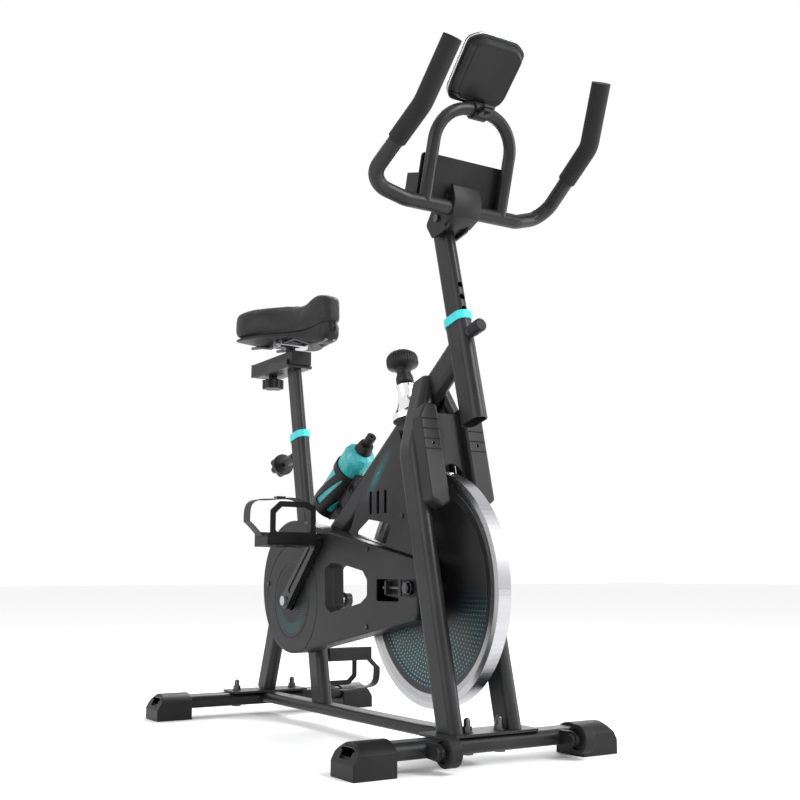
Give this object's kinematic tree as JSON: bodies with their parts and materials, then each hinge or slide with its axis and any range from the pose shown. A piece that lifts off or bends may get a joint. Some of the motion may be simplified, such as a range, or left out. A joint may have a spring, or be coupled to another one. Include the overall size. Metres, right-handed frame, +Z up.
{
  "type": "indoor spin bike",
  "caption": "Indoor spin bike with flywheel, belt guard, friction brake, adjustable saddle and handlebar, console and bottle.",
  "frame": {"origin": "on the floor under the middle of the bike's overall box", "axes": "+X forwards towards the handlebar, +Y to the rider's left, +Z up"},
  "size_m": [0.9596, 0.48, 1.1288],
  "materials": {
    "frame_paint": "satin",
    "plate_paint": "satin",
    "black_plastic": "matte",
    "guard_plastic": "satin",
    "turquoise_plastic": "gloss",
    "bottle_plastic": "gloss",
    "rubber": "matte",
    "foam": "matte",
    "steel": "satin",
    "chrome": "polished",
    "flywheel_metal": "polished",
    "crank_paint": "satin",
    "saddle_cover": "matte",
    "strap": "matte",
    "felt": "matte",
    "screen": "gloss",
    "belt": "matte",
    "console_plastic": "satin",
    "bezel_plastic": "satin"
  },
  "bodies": {
    "frame": {"base_rail": "frame_paint", "stabilizers": "frame_paint", "foot_caps": "black_plastic", "stabilizer_bolts": "steel", "wheel_brackets": "plate_paint", "main_frame": "frame_paint", "tube_collars": "turquoise_plastic", "frame_legs": "frame_paint", "dropout_plates": "plate_paint", "flywheel_axle": "steel", "crank_bearings": "steel", "belt_guard_outer": "guard_plastic", "belt_guard_inner": "black_plastic", "drive_belt": "belt", "side_covers": "guard_plastic", "flywheel_fender": "guard_plastic", "cover_screws": "crank_paint", "bottle_cage": "black_plastic", "brake_socket": "chrome"},
    "handlebar_mast": {"handlebar_post": "frame_paint", "stem_bracket": "plate_paint", "stem_bolts": "steel", "handlebar": "frame_paint", "handlebar_grips": "foam", "device_tray": "black_plastic"},
    "console": {"console_clamp": "black_plastic", "console_housing": "console_plastic", "console_bezel": "bezel_plastic", "console_display": "screen"},
    "mode_button": {"console_button": "black_plastic"},
    "seat_mast": {"seat_post": "frame_paint", "clamp_nut": "steel"},
    "carriage_knob": {"clamp_knob": "black_plastic"},
    "saddle": {"saddle_slider": "plate_paint", "slider_plugs": "black_plastic", "saddle_clamp": "steel", "saddle_rails": "steel", "saddle_base": "black_plastic", "saddle_cushion": "saddle_cover"},
    "crankset": {"crank_axle": "steel", "crank_arms": "crank_paint", "pedal_spindles": "steel", "drive_pulley": "flywheel_metal"},
    "right_pedal": {"pedal_right": "black_plastic", "toe_strap_right": "strap"},
    "left_pedal": {"pedal_left": "black_plastic", "toe_strap_left": "strap"},
    "flywheel_rotor": {"flywheel": "flywheel_metal", "flywheel_hub": "steel"},
    "brake_plunger": {"brake_rod": "steel"},
    "resistance_knob": {"brake_knob": "black_plastic"},
    "brake_block": {"brake_shoe": "steel", "brake_pad": "felt"},
    "right_wheel": {"transport_wheel_right": "rubber"},
    "left_wheel": {"transport_wheel_left": "rubber"},
    "mast_pin": {"handlebar_pin": "black_plastic"},
    "seat_pin": {"seat_pin_knob": "black_plastic"},
    "bottle": {"bottle_body": "bottle_plastic", "bottle_cap": "black_plastic"},
    "spout": {"bottle_spout": "black_plastic"}
  },
  "joints": [
    {"name": "handlebar_height", "type": "slide", "parent": "frame", "child": "handlebar_mast", "axis": [-0.2436, 0, 0.9699], "range_m": [-0.066, 0.044]},
    {"name": "mast_pin_pull", "type": "slide", "parent": "frame", "child": "mast_pin", "axis": [0.9699, 0, 0.2436], "range_m": [0, 0.008], "stiffness_N_per_m": 900, "springref_m": -0.004},
    {"name": "console_tilt", "type": "hinge", "parent": "handlebar_mast", "child": "console", "pos_m": [0.33197, 0, 1.02141], "axis": [0, 1, 0], "range_deg": [-30, 20]},
    {"name": "mode_button_press", "type": "slide", "parent": "console", "child": "mode_button", "axis": [0.6947, 0, -0.7193], "range_m": [0, 0.001], "stiffness_N_per_m": 700, "springref_m": -0.0005},
    {"name": "seat_height", "type": "slide", "parent": "frame", "child": "seat_mast", "axis": [-0.2028, 0, 0.9792], "range_m": [-0.066, 0.11]},
    {"name": "seat_pin_pull", "type": "slide", "parent": "frame", "child": "seat_pin", "axis": [-0.9792, 0, -0.2028], "range_m": [0, 0.01], "stiffness_N_per_m": 900, "springref_m": -0.004},
    {"name": "carriage_knob_turn", "type": "hinge", "parent": "seat_mast", "child": "carriage_knob", "pos_m": [-0.41547, 0, 0.69], "axis": [0, 0, -1], "range_deg": [0, 720]},
    {"name": "saddle_fore_aft", "type": "slide", "parent": "seat_mast", "child": "saddle", "axis": [1, 0, 0], "range_m": [-0.06, 0.03]},
    {"name": "flywheel_spin", "type": "hinge", "parent": "frame", "child": "flywheel_rotor", "pos_m": [0.19653, 0, 0.2575], "axis": [0, 1, 0], "continuous": true},
    {"name": "crank_spin", "type": "hinge", "parent": "frame", "child": "crankset", "pos_m": [-0.20347, 0, 0.2305], "axis": [0, 1, 0], "continuous": true},
    {"name": "right_pedal_spin", "type": "hinge", "parent": "crankset", "child": "right_pedal", "pos_m": [-0.0876, -0.126, 0.34084], "axis": [0, 1, 0], "continuous": true},
    {"name": "left_pedal_spin", "type": "hinge", "parent": "crankset", "child": "left_pedal", "pos_m": [-0.31934, 0.126, 0.12016], "axis": [0, 1, 0], "continuous": true},
    {"name": "brake_push", "type": "slide", "parent": "frame", "child": "brake_plunger", "axis": [0.2385, 0, -0.9711], "range_m": [0, 0.0035], "stiffness_N_per_m": 6000, "springref_m": -0.002},
    {"name": "resistance_turn", "type": "hinge", "parent": "brake_plunger", "child": "resistance_knob", "pos_m": [0.10589, 0, 0.62653], "axis": [0.2385, 0, -0.9711], "range_deg": [0, 720]},
    {"name": "brake_feed", "type": "slide", "parent": "brake_plunger", "child": "brake_block", "axis": [0.2385, 0, -0.9711], "range_m": [0, 0.003]},
    {"name": "right_wheel_spin", "type": "hinge", "parent": "frame", "child": "right_wheel", "pos_m": [0.37353, -0.095, 0.031], "axis": [0, 1, 0], "continuous": true},
    {"name": "left_wheel_spin", "type": "hinge", "parent": "frame", "child": "left_wheel", "pos_m": [0.37353, 0.151, 0.031], "axis": [0, 1, 0], "continuous": true},
    {"name": "bottle_slide", "type": "slide", "parent": "frame", "child": "bottle", "axis": [0.8151, 0, 0.5793], "range_m": [0, 0.06]},
    {"name": "spout_push", "type": "slide", "parent": "bottle", "child": "spout", "axis": [0.8151, 0, 0.5793], "range_m": [-0.006, 0]}
  ],
  "couplings": [
    {"joint": "crank_spin", "follows": "flywheel_spin", "ratio": 0.25},
    {"joint": "brake_feed", "follows": "resistance_turn", "m_per_rad": 0.00023873}
  ]
}
